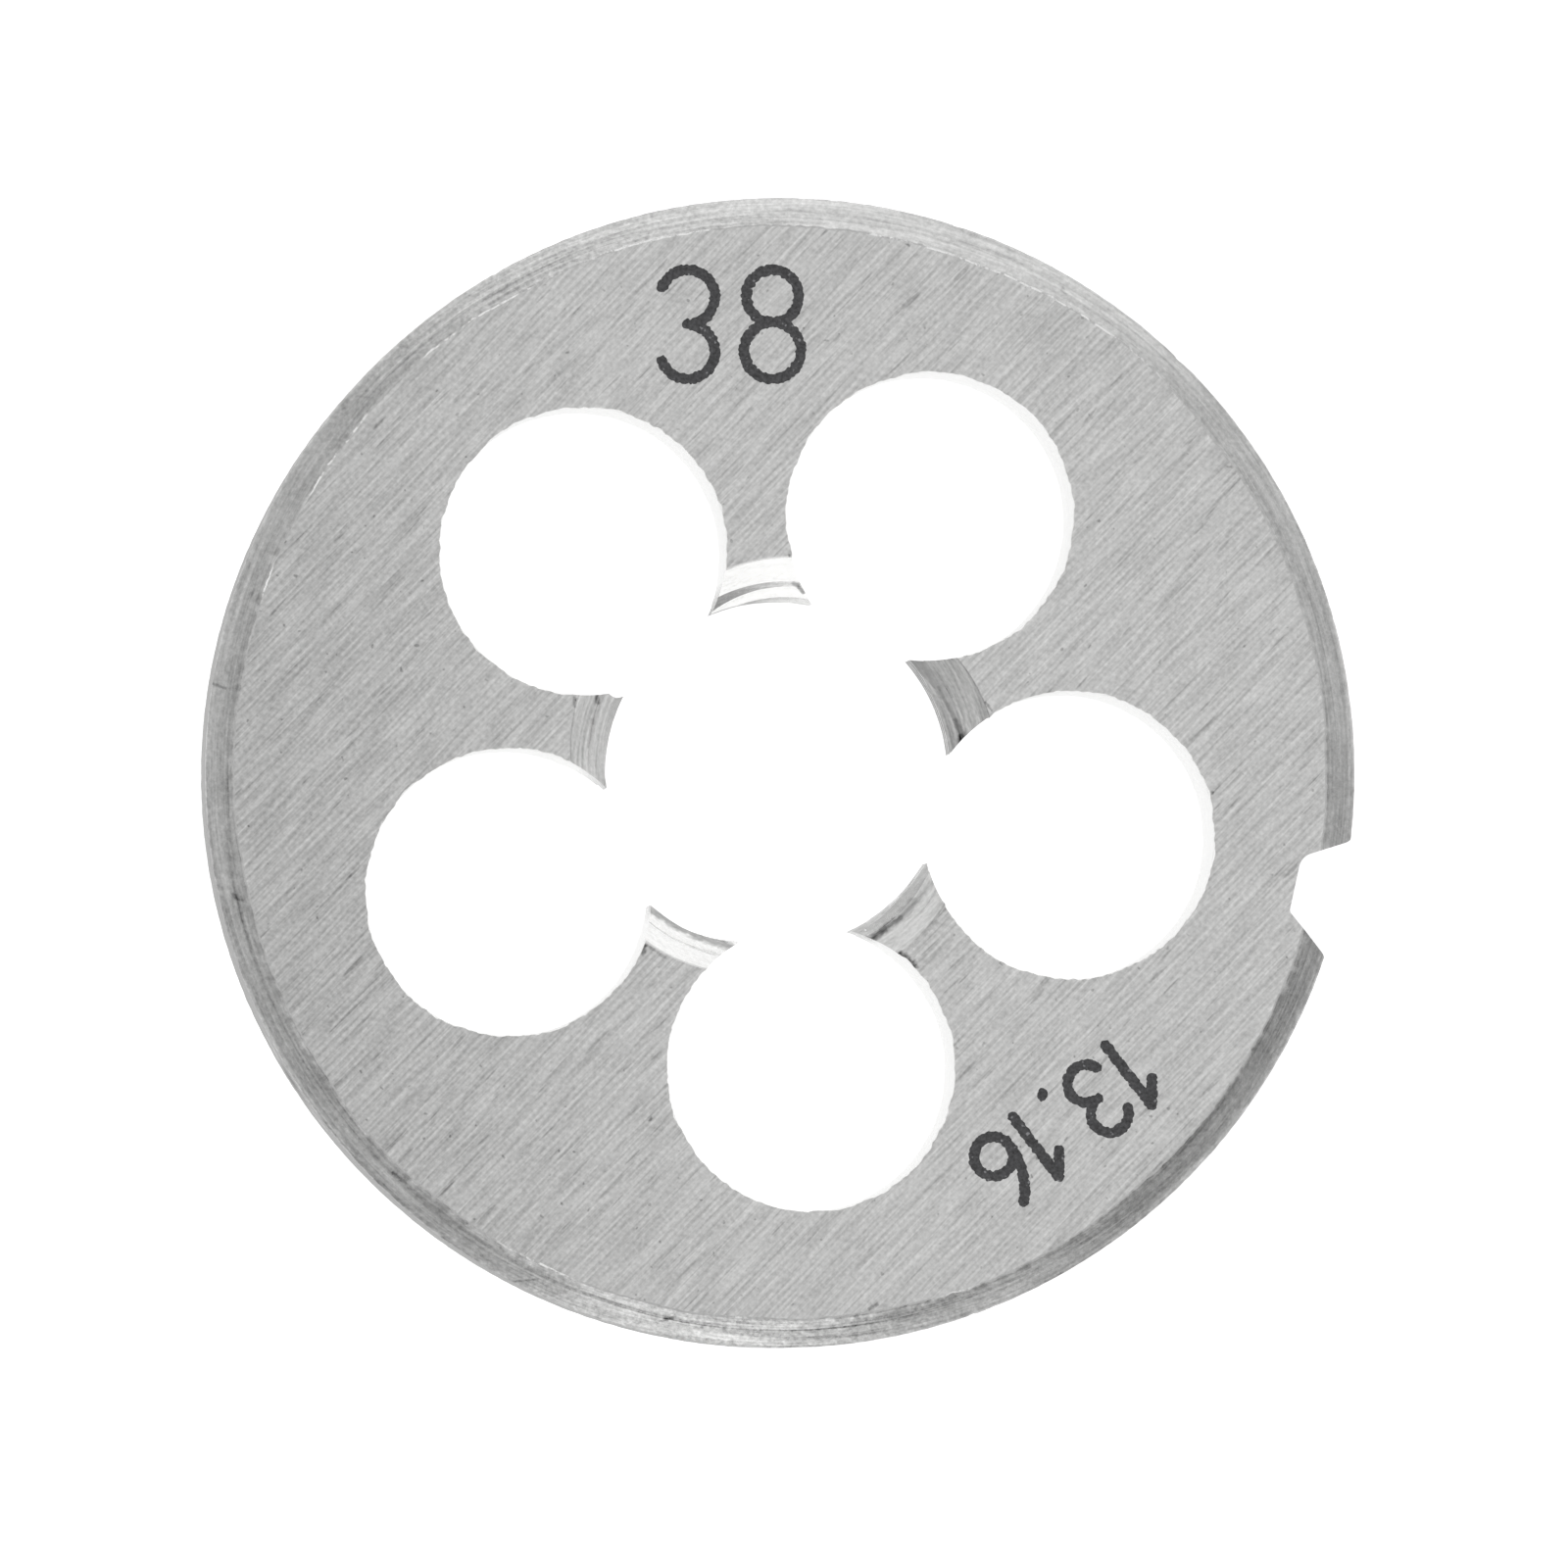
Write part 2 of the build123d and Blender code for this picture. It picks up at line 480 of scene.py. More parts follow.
def stroke_ends(stroke):
    """The two ends of a stroke, or none for a full ring."""
    if len(stroke) == 4:
        return [Vector(stroke[:2]), Vector(stroke[2:])]
    x, y, radius, start, sweep = stroke
    if sweep == 360:
        return []
    turns = [math.radians(start), math.radians(start + sweep)]
    return [Vector((x + radius * math.cos(turn), y + radius * math.sin(turn))) for turn in turns]


def stroke_cutters(stroke, place, tube):
    """A rod along one stroke and a ball at each of its ends, placed on the face by a matrix."""
    scale = place.to_scale().x
    bm = bmesh.new()
    if len(stroke) == 4:
        start, end = stroke_ends(stroke)
        steps = max(2, round((end - start).length * scale / STROKE_STEP))
        bmesh.ops.create_circle(bm, cap_ends=True, segments=STROKE_SEGMENTS, radius=tube / scale)
        along = (end - start).to_3d()
        bmesh.ops.rotate(bm, verts=bm.verts[:], matrix=along.to_track_quat("Z", "Y").to_matrix())
        bmesh.ops.translate(bm, verts=bm.verts[:], vec=start.to_3d())
        sweep = {"angle": 0.0, "dvec": along / steps, "steps": steps, "cent": (0, 0, 0)}
    else:
        x, y, radius, degrees, turn = stroke
        steps = max(6, round(abs(math.radians(turn)) * radius * scale / STROKE_STEP))
        bmesh.ops.create_circle(
            bm, cap_ends=turn != 360, segments=STROKE_SEGMENTS, radius=tube / scale
        )
        bmesh.ops.rotate(bm, verts=bm.verts[:], matrix=Matrix.Rotation(math.pi / 2, 3, "X"))
        bmesh.ops.translate(bm, verts=bm.verts[:], vec=(radius, 0, 0))
        bmesh.ops.rotate(bm, verts=bm.verts[:], matrix=Matrix.Rotation(math.radians(degrees), 3, "Z"))
        bmesh.ops.translate(bm, verts=bm.verts[:], vec=(x, y, 0))
        sweep = {"angle": math.radians(turn), "dvec": (0, 0, 0), "steps": steps, "cent": (x, y, 0)}
    geometry = bm.verts[:] + bm.edges[:] + bm.faces[:]
    bmesh.ops.spin(bm, geom=geometry, axis=(0, 0, 1), use_merge=sweep["angle"] == math.tau, **sweep)
    rods = [bm]
    for end in stroke_ends(stroke):
        bm = bmesh.new()
        bmesh.ops.create_icosphere(bm, subdivisions=BALL_LEVELS, radius=tube / scale)
        bmesh.ops.translate(bm, verts=bm.verts[:], vec=end.to_3d())
        rods.append(bm)
    for bm in rods:
        bmesh.ops.transform(bm, matrix=place, verts=bm.verts[:])
    return rods


def number_cutters(sizes, text, centre, up, height, material):
    """Round-ended strokes that etch a plain number into the starting face."""
    half, depth = sizes.mark_width / 2, sizes.mark_depth
    tube = (half**2 + depth**2) / (2 * depth)
    right = Vector((up.y, -up.x))
    lift = Vector((0, 0, sizes.thickness + tube - depth))
    pen = -(sum(DIGIT_WIDTHS[sign] for sign in text) + DIGIT_GAP * (len(text) - 1)) / 2
    turn = Matrix((right.to_3d(), up.to_3d(), (0, 0, 1))).transposed().to_4x4()
    noise.seed_set(STROKE_SEED)
    cutters = []
    for sign in text:
        corner = (centre + (right * pen - up * 0.5) * height).to_3d() + lift
        place = Matrix.Translation(corner) @ turn @ Matrix.Scale(height, 4)
        pen += DIGIT_WIDTHS[sign] + DIGIT_GAP
        for stroke in DIGITS[sign]:
            for bm in stroke_cutters(stroke, place, tube):
                for vert in bm.verts:
                    vert.co += STROKE_WANDER * noise.noise_vector(vert.co / STROKE_GRAIN)
                cutters.append(new_object(f"stroke_{len(cutters)}", bm, material))
    return cutters


def cut(body, cutters):
    """Takes the cutters out of the body, one after the other, and clears them away."""
    for cutter in cutters:
        modifier = body.modifiers.new(cutter.name, "BOOLEAN")
        modifier.operation = "DIFFERENCE"
        modifier.solver = "MANIFOLD"
        modifier.material_mode = "TRANSFER"
        modifier.object = cutter
    bpy.context.view_layer.update()
    evaluated = body.evaluated_get(bpy.context.evaluated_depsgraph_get())
    mesh = bpy.data.meshes.new_from_object(evaluated)
    body.modifiers.clear()
    body.data = mesh
    for cutter in cutters:
        bpy.data.objects.remove(cutter)


# ---------------------------------------------------------------- shaders


# How deep the fine and the coarse lines are
FINE_BUMP = 0.003 * MM
COARSE_BUMP = 0.006 * MM
# Marks of the starting side fade out between these heights
MARKS_FADE = (4 * MM, 6 * MM)


class Value:
    """A shader socket that adds Math nodes when it is used in an expression."""

    def __init__(self, shader, socket):
        self.shader = shader
        self.socket = socket

    def math(self, operation, *others, swap=False):
        """One Math node on this value and the others."""
        inputs = [self, *others]
        if swap:
            inputs.reverse()
        node = self.shader.node("ShaderNodeMath", {"operation": operation}, dict(enumerate(inputs)))
        return Value(self.shader, node.outputs[0])

    def __add__(self, other):
        return self.math("ADD", other)

    def __sub__(self, other):
        return self.math("SUBTRACT", other)

    def __rsub__(self, other):
        return self.math("SUBTRACT", other, swap=True)

    def __mul__(self, other):
        return self.math("MULTIPLY", other)

    def __truediv__(self, other):
        return self.math("DIVIDE", other)

    def __pow__(self, other):
        return self.math("POWER", other)

    __radd__ = __add__
    __rmul__ = __mul__

    def ramp(self, low, high):
        """0 below low, 1 above high, smooth between."""
        node = self.shader.node(
            "ShaderNodeMapRange",
            {"interpolation_type": "SMOOTHSTEP"},
            {"Value": self, "From Min": low, "From Max": high},
        )
        return Value(self.shader, node.outputs["Result"])


class Shader:
    """Builds the nodes of a new material, or of a world that it is given."""

    def __init__(self, target):
        self.material = target if isinstance(target, bpy.types.World) else bpy.data.materials.new(target)
        self.material.use_nodes = True
        self.tree = self.material.node_tree
        self.tree.nodes.clear()
        coordinates = self.node("ShaderNodeTexCoord")
        if self.material == target:
            parts = self.node("ShaderNodeSeparateXYZ", {}, {0: coordinates.outputs["Generated"]})
            self.direction = Value(self, parts.outputs[2])
            return
        self.place = coordinates.outputs["Object"]
        parts = self.node("ShaderNodeSeparateXYZ", {}, {0: self.place})
        self.x, self.y, self.z = (Value(self, parts.outputs[axis]) for axis in range(3))

    def node(self, kind, settings=None, inputs=None):
        """Any node: its settings are set first, then its inputs, as values or links."""
        node = self.tree.nodes.new(kind)
        for name, setting in (settings or {}).items():
            setattr(node, name, setting)
        for key, given in (inputs or {}).items():
            if isinstance(given, Value):
                given = given.socket
            if isinstance(given, bpy.types.NodeSocket):
                self.tree.links.new(given, node.inputs[key])
            elif given is not None:
                node.inputs[key].default_value = given
        return node

    def vector(self, x, y, z):
        """A vector from three values."""
        return self.node("ShaderNodeCombineXYZ", {}, {0: x, 1: y, 2: z}).outputs[0]

    def lines(self, vector, scale, detail=2.0, roughness=0.5):
        """Noise on a vector that its caller has stretched, centred on 0."""
        node = self.node(
            "ShaderNodeTexNoise",
            {"noise_dimensions": "3D"},
            {"Vector": vector, "Scale": scale, "Detail": detail, "Roughness": roughness},
        )
        return Value(self, node.outputs["Fac"]) - 0.5

    def from_axis(self):
        """Distance from the die's axis."""
        return (self.x * self.x + self.y * self.y) ** 0.5

    def toward(self, degrees, spread):
        """1 in one direction from the axis, fading to 0 at `spread` degrees on each side of it."""
        turn = math.radians(degrees)
        facing = (self.x * math.cos(turn) + self.y * math.sin(turn)) / self.from_axis()
        return facing.ramp(math.cos(math.radians(spread)), 1.0)

    def scratch(self, start, end, width, ragged):
        """1 on a straight mark from one (x, y) to another on the starting side, all in millimetres, else 0;
        the mark is a scratch, a pit, a chip, a line of painted shade or a painted highlight.
        """
        x, y = start[0] * MM, start[1] * MM
        end_x, end_y = end[0] * MM - x, end[1] * MM - y
        reach = max(math.hypot(end_x, end_y), 0.001 * MM)
        step_x, step_y = end_x / reach, end_y / reach
        off_x, off_y = self.x - x, self.y - y
        along = (off_x * step_x + off_y * step_y).math("MAXIMUM", 0.0).math("MINIMUM", reach)
        gap = ((off_x - along * step_x) ** 2 + (off_y - along * step_y) ** 2) ** 0.5
        gap = gap + ragged * (0.7 * width * MM)
        return (1 - gap.ramp(width * 0.15 * MM, width * 0.7 * MM)) * self.z.ramp(*MARKS_FADE)

    def tint(self, colour, factor):
        """A colour made lighter or darker by a factor."""
        node = self.node("ShaderNodeVectorMath", {"operation": "SCALE"}, {0: tuple(colour), "Scale": factor})
        return node.outputs[0]

    def steel(self, colour, roughness, height, distance, metallic=1.0):
        """The metal surface itself, with its bump."""
        bump = self.node("ShaderNodeBump", {}, {"Height": height, "Distance": distance, "Strength": 1.0})
        surface = self.node(
            "ShaderNodeBsdfPrincipled",
            {},
            {
                "Base Color": colour,
                "Roughness": roughness,
                "Metallic": metallic,
                "Normal": bump.outputs["Normal"],
            },
        )
        self.node("ShaderNodeOutputMaterial", {}, {"Surface": surface.outputs[0]})
        return self.material


def polar(radius, degrees):
    """The x and y of a point at this radius and direction."""
    turn = math.radians(degrees)
    return radius * math.cos(turn), radius * math.sin(turn)


# Pits in the starting face, as start, end, width in millimetres and darkness
FACE_PITS = (
    (polar(17.95, 291.6), polar(17.85, 292.4), 0.14, 0.35),
    (polar(17.98, 46.4), polar(17.9, 46.6), 0.10, 0.35),
)
# Scratches on the starting face's chamfer, as start, end and width in millimetres
RIM_SCRATCHES = (
    (polar(19.1, 183.2), polar(18.55, 183.6), 0.10),
    (polar(18.5, 204.9), polar(18.3, 205.4), 0.22),
    (polar(19.05, 254.2), polar(18.55, 256.6), 0.08),
    (polar(18.6, 269.6), polar(18.3, 271.2), 0.12),
    (polar(18.4, 238.2), polar(18.35, 239.6), 0.16),
)

# The lead-ins end within this radius, in millimetres, and marks that reach past it are on the face too
LEAD_IN_REACH = 7.0
# Each land from the first after the rim groove: how bright its lead-in and its thread are, as painted
# light and shade that makes lit and shaded copies of one steel; and the marks at its edges as start, end,
# width in millimetres and darkness, partly real chips and tears and partly painted shade along crests and
# flanks, where a negative darkness is a painted highlight on a burr
LANDS = (
    (
        0.72,
        1.02,
        (
            ((5.64, 2.52), (5.71, 2.28), 0.26, 0.95),
            ((5.33, 2.97), (5.64, 2.52), 0.18, 0.60),
            ((4.96, 3.43), (5.33, 2.97), 0.15, 0.38),
            ((4.55, 3.89), (4.96, 3.43), 0.13, 0.25),
            ((5.11, 3.62), (5.80, 2.71), 0.09, -0.22),
            ((4.70, 3.22), (5.26, 2.28), 0.10, -0.20),
            ((6.12, 3.69), (6.37, 3.48), 0.09, 0.45),
            ((3.79, 3.98), (4.03, 3.69), 0.05, -0.40),
        ),
    ),
    (
        1.60,
        1.10,
        (
            ((-0.86, 6.23), (-0.68, 6.20), 0.15, 0.50),
            ((-0.68, 6.19), (-0.47, 6.02), 0.14, 0.65),
            ((-1.27, 7.09), (-1.23, 7.06), 0.08, 0.45),
        ),
    ),
    (
        0.88,
        1.50,
        (
            ((-6.42, 1.17), (-6.38, 1.02), 0.18, 0.65),
            ((-6.40, 0.98), (-6.41, 0.42), 0.12, 0.28),
            ((-6.42, 0.42), (-6.40, 0.30), 0.14, 0.45),
            ((-6.40, 0.25), (-6.37, -0.50), 0.12, 0.25),
            ((-7.18, 0.96), (-7.10, 0.69), 0.12, 0.40),
            ((-7.10, 0.69), (-7.05, 0.05), 0.06, 0.18),
            ((-7.04, 0.91), (-7.08, 0.50), 0.06, -0.20),
        ),
    ),
    (
        1.50,
        1.20,
        (
            ((-3.38, -5.15), (-3.30, -5.35), 0.30, 0.65),
            ((-3.30, -5.25), (-2.27, -5.64), 0.30, 0.58),
            ((-2.27, -5.64), (-1.30, -5.86), 0.32, 0.58),
            ((-1.30, -5.86), (-0.35, -5.95), 0.30, 0.56),
            ((-3.20, -6.55), (-3.20, -6.76), 0.20, 0.65),
            ((-3.10, -6.52), (-2.41, -6.79), 0.10, 0.30),
            ((-0.77, -6.06), (-0.75, -6.06), 0.07, 0.30),
        ),
    ),
    (
        0.98,
        1.40,
        (
            ((3.84, -4.91), (4.12, -4.76), 0.36, 0.90),
            ((4.12, -4.76), (4.52, -4.29), 0.26, 0.82),
            ((4.52, -4.29), (4.92, -3.80), 0.27, 0.60),
            ((4.92, -3.80), (5.28, -3.17), 0.34, 0.34),
            ((5.28, -3.17), (5.56, -2.50), 0.38, 0.18),
            ((5.14, -5.05), (5.60, -5.31), 0.32, 0.75),
            ((5.48, -4.71), (6.06, -3.71), 0.12, 0.20),
            ((3.90, -4.44), (3.91, -4.45), 0.05, -0.60),
        ),
    ),
)


def ground_face(finish):
    """Ground steel: long straight lines one way, with fine scratches, small pits and painted shade that
    darkens it towards one side.
    """
    shader = Shader("ground_face")
    turn = finish.grind_angle
    along = shader.x * math.cos(turn) + shader.y * math.sin(turn)
    across = shader.y * math.cos(turn) - shader.x * math.sin(turn)
    fine = shader.lines(shader.vector(along * 580, across * 9500, shader.z * 480), 1.0, 1.0, 0.6)
    medium = shader.lines(shader.vector(along * 420, across * 3400, shader.z * 300), 1.0, 2.0)
    broad = shader.lines(shader.vector(along * 90, across * 700, shader.z * 90), 1.0, 2.0)
    grit = shader.lines(shader.place, 7000.0, 2.0)
    deep = shader.lines(shader.vector(along * 600 + 7.0, across * 5200, shader.z * 300), 1.0, 1.0)
    scratch = deep.ramp(0.17, 0.25)
    thin = shader.lines(shader.vector(along * 260 + 3.0, across * 9000, shader.z * 300), 1.0, 1.0)
    thin = thin.ramp(0.04, 0.22)
    pits = shader.lines(shader.place, 3600.0, 1.0).ramp(0.22, 0.28)
    # Painted shade: the face grows darker towards one side of the die
    painted_shade_side = (shader.x * -0.92 + shader.y * -0.38).ramp(2 * MM, 18 * MM)
    tone = 0.99 + fine * 0.74 + medium * 0.13 + broad * 0.05 + grit * 0.6
    tone = tone - thin * 0.12 - scratch * 0.22 - pits * 0.35 - painted_shade_side * 0.14
    # The lands' marks past the lead-ins go on the face too: partly real chips and tears, partly painted
    # shade, and painted highlights where the darkness is negative
    land_marks = [mark for *_, marks in LANDS for mark in marks]
    past_lead_ins = [mark for mark in land_marks if math.hypot(*mark[1]) > LEAD_IN_REACH]
    for start, end, width, darkness in (*FACE_PITS, *past_lead_ins):
        tone = tone - shader.scratch(start, end, width, grit) * darkness
    roughness = finish.face_roughness + fine * 0.15 + scratch * 0.1
    height = fine * 0.5 + medium * 0.4 - scratch * 0.8
    return shader.steel(shader.tint(finish.steel, tone), roughness, height, FINE_BUMP)


def worn_edge(finish):
    """The worn edge between a face and its chamfer: mostly dull, with a painted highlight where it is burred
    on some sides of the die.
    """
    shader = Shader("worn_edge")
    burred = shader.lines(shader.place, 260.0, 2.0).ramp(-0.06, 0.04)
    # Painted highlight: the burrs are made bright only towards a few directions round the die
    lit_sides = shader.toward(136.0, 48.0) + shader.toward(277.0, 30.0) + shader.toward(85.0, 45.0) * 0.3
    burred = burred * lit_sides.ramp(0.02, 0.35)
    bright = burred * shader.lines(shader.place, 2200.0, 3.0, 0.7).ramp(-0.08, 0.06)
    grit = shader.lines(shader.place, 6000.0, 2.0)
    tone = 0.88 + bright * 0.62 + grit * 0.5
    return shader.steel(shader.tint(finish.steel, tone), 0.45 - bright * 0.1, grit, COARSE_BUMP)


def turned_band(name, finish, tone, roughness, line=0.0):
    """Turned steel on the chamfers and the rim: fine rings, a tool's line, a few dark smudges and, on the
    chamfer, painted shade inside the tool's line.
    """
    shader = Shader(name)
    radius = shader.from_axis()
    down = radius - shader.z
    round_x, round_y = shader.x / radius, shader.y / radius
    rings = shader.lines(shader.vector(down * 5500, round_x * 4.0, round_y * 4.0), 1.0, 3.0, 0.6)
    wide = shader.lines(shader.vector(down * 1700, round_x * 2.5, round_y * 2.5), 1.0, 2.0)
    blotch = shader.lines(shader.place, 700.0, 3.0, 0.6)
    smudge = shader.lines(shader.place, 1300.0, 2.0).ramp(0.20, 0.28)
    grit = shader.lines(shader.place, 6000.0, 3.0, 0.7)
    coarse = 0.85 + shader.toward(260.0, 130.0) * 0.3 + shader.toward(280.0, 36.0) * 0.45
    coarse = coarse + shader.toward(128.0, 36.0) * 0.35
    # Painted shade on the chamfer inside the tool's line, on the side towards 324 degrees
    painted_shade_inner = (1 - (radius - line).ramp(-0.3 * MM, 0.45 * MM)) * shader.toward(324.0, 40.0).ramp(0, 0.5)
    shade = 1.0 + (rings + wide * 0.6) * coarse + blotch * 0.3 + grit * coarse - smudge * 0.3
    for start, end, width in RIM_SCRATCHES if line else ():
        shade = shade - shader.scratch(start, end, width, grit) * 0.35
    if line:
        off_line = radius - line + wide * 0.1 * MM
        cut_deep = shader.lines(shader.vector(0, round_x * 1.7, round_y * 1.7), 1.0, 1.0).ramp(-0.15, 0.2)
        shade = shade - (1 - (off_line * off_line).ramp(0, (0.035 * MM) ** 2)) * cut_deep * coarse * 0.2
        # Inside the tool's line the chamfer is a little darker all round: painted shade
        shade = shade - (1 - off_line.ramp(-0.02 * MM, 0.02 * MM)) * 0.06 - painted_shade_inner * 0.18
    tinted = shader.tint(finish.steel, shade * tone)
    height = rings + wide * 0.6 + grit
    return shader.steel(tinted, roughness + rings * 0.15, height, COARSE_BUMP)


def drilled_wall(finish):
    """Drilled walls with rings down the hole, tinted brighter than the steel as painted light."""
    shader = Shader("drilled_wall")
    rings = shader.lines(shader.vector(shader.x * 60, shader.y * 60, shader.z * 6000), 1.0, 3.0)
    # Painted light: the walls are half again as bright as the steel
    tone = 1.5 + rings * 0.6
    return shader.steel(shader.tint(finish.steel, tone), 0.28 + rings * 0.1, rings, FINE_BUMP)


def cut_steel(name, finish, tone, marks, mouth=0.0):
    """Cut steel with rings round the bore, in a tone that is painted light and shade; the lower the tone,
    the duller it is and the more its rings show.
    """
    shader = Shader(name)
    radius = shader.from_axis()
    dull = max(0.0, 1.3 - tone)
    place = shader.vector(radius * 7500, shader.z * 1200, shader.x / radius * 3.0)
    rings = shader.lines(place, 1.0, 2.0)
    grit = shader.lines(shader.place, 6500.0, 2.0)
    ragged = shader.lines(shader.place, 4000.0, 2.0)
    shade = 1.0 + rings * (0.2 + 2.6 * dull) + grit * (0.3 + 0.8 * dull)
    # Painted shade: a dark line round the top of the lead-in, where it meets the face
    if mouth:
        shade = shade - shader.z.ramp(mouth - 0.16 * MM, mouth - 0.05 * MM) * 0.3
    # Dark marks are partly real chips and tears and partly painted shade; a negative darkness gives a
    # painted highlight on a burr
    chips_and_painted_shade, burr = 0.0, 0.0
    for start, end, width, darkness in marks:
        mark = shader.scratch(start, end, width, ragged) * darkness
        if darkness > 0:
            chips_and_painted_shade = mark.math("MAXIMUM", chips_and_painted_shade)
        else:
            burr = mark.math("MINIMUM", burr)
    shade = shade - chips_and_painted_shade - burr
    tinted = shader.tint(finish.steel, shade * tone)
    roughness = 0.22 + 0.25 * dull + rings * 0.1
    return shader.steel(tinted, roughness, rings + grit * 0.3, FINE_BUMP)


def milled_groove(finish):
    """The groove and the screw seats."""
    shader = Shader("milled_groove")
    lines = shader.lines(shader.vector(shader.x * 1500, shader.y * 1500, shader.z * 3000), 1.0, 3.0)
    tinted = shader.tint(finish.steel, 0.85 + lines * 0.3)
    return shader.steel(tinted, 0.38 + lines * 0.1, lines, COARSE_BUMP)


def etched_mark(finish):
    """Dark etched strokes with a fine grain."""
    shader = Shader("etched_mark")
    grain = shader.lines(shader.place, 9000.0, 3.0, 0.6)
    specks = shader.lines(shader.place, 5200.0, 1.0).ramp(0.17, 0.24)
    tone = 0.9 + grain * 2.2 + specks * 2.4
    return shader.steel(shader.tint(finish.etch, tone), 0.62, grain, COARSE_BUMP, metallic=0.35)


# ---------------------------------------------------------------- operators


# Edges bent by more than this stay sharp
SHARP_ANGLE = math.radians(24)
# Soft lights: name, place in metres, width, height and brightness
LAMPS = (
    ("overhead", (0.05, 0.05, 0.9), 1.2, 1.2, 0.435),
    ("top_panel", (0.06, 0.6, 0.2), 0.9, 0.4, 1.5),
    ("left_panel", (-0.58, 0.12, 0.2), 1.2, 0.4, 0.42),
    ("right_panel", (0.58, 0.25, 0.2), 0.8, 0.4, 0.45),
    ("bottom_panel", (-0.05, -0.6, 0.2), 0.3, 0.4, 2.0),
)
# What the camera aims at, beside the axis on the starting face
AIM = (0.104 * MM, -0.379 * MM, BOX_HIGH.z)
# The floor: half its width, how far it lies under the die, and how bright it glows by itself
FLOOR_HALF = 2.0
FLOOR_GAP = 0.02 * MM
FLOOR_GLOW = 0.92


class DIE_OT_body(bpy.types.Operator):
    """Cut the steel body out of its blank and dress it"""

    bl_idname = "object.die_body"
    bl_label = "Die body"

    def execute(self, context):
        sizes, finish = context.scene.die_sizes, context.scene.die_finish
        tool_line = sizes.rim_radius - sizes.tool_line
        face, edge, band, rim = (
            ground_face(finish),
            worn_edge(finish),
            turned_band("turned_chamfer", finish, tone=0.84, roughness=0.38, line=tool_line),
            # The rim is a darker copy of the turned steel: painted shade
            turned_band("turned_rim", finish, tone=0.6, roughness=0.55),
        )
        wall, groove, mark = drilled_wall(finish), milled_groove(finish), etched_mark(finish)
        lead_ins, threads = [], []
        for index, (cone, flank, marks) in enumerate(LANDS):
            # A land's lead-in and thread take its painted light and shade as their tone; every back lead-in
            # takes the second land's
            lead_ins.append(cut_steel(f"lead_in_{index}", finish, cone, marks, sizes.thickness))
            threads.append(cut_steel(f"thread_{index}", finish, flank, marks))
        body = blank(sizes, face, edge, band, rim)
        cutters = [bore_cutter(sizes, threads[0]), thread_cutter(sizes, threads[0])]
        for index in range(sizes.hole_count):
            cutters.append(lead_in_cutter(sizes, index, False, lead_ins[index % len(LANDS)]))
            cutters.append(lead_in_cutter(sizes, index, True, lead_ins[1]))
        cutters += [chip_hole_cutter(sizes, index, wall) for index in range(sizes.hole_count)]
        cutters += [worn_round_cutter(sizes, *worn, threads[0]) for worn in WORN_ROUNDS]
        cutters.append(groove_cutter(sizes, groove))
        cutters += [seat_cutter(sizes, mount, groove) for name, mount in MOUNTS.items() if "seat" in name]
        picture = Matrix.Rotation(context.scene.die_stage.turn, 2)
        for text, centre, up, height in NUMBERS:
            centre, up = picture @ Vector(centre) * MM, (picture @ Vector(up)).normalized()
            cutters += number_cutters(sizes, text, centre, up, height * MM, mark)
        cut(body, cutters)
        self.finish_surface(body, threads)
        body.name = "threading_die"
        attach(body, "root")
        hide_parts(NODE)
        return {"FINISHED"}

    @staticmethod
    def finish_surface(body, threads):
        """Gives each land's thread its own material, with that land's painted light and shade and its marks,
        and keeps real edges sharp.
        """
        for material in threads[1:]:
            body.data.materials.append(material)
        slots = [body.data.materials.find(material.name) for material in threads]
        bm = bmesh.new()
        bm.from_mesh(body.data)
        for face in bm.faces:
            face.smooth = True
            if face.material_index == slots[0]:
                middle = face.calc_center_median()
                land = int(math.atan2(middle.y, middle.x) % math.tau / math.tau * len(threads))
                face.material_index = slots[land]
        for edge in bm.edges:
            if edge.is_manifold:
                edge.smooth = edge.calc_face_angle(0.0) < SHARP_ANGLE
        bm.to_mesh(body.data)
        bm.free()
        modifier = body.modifiers.new("edge shading", "WEIGHTED_NORMAL")
        modifier.keep_sharp = True


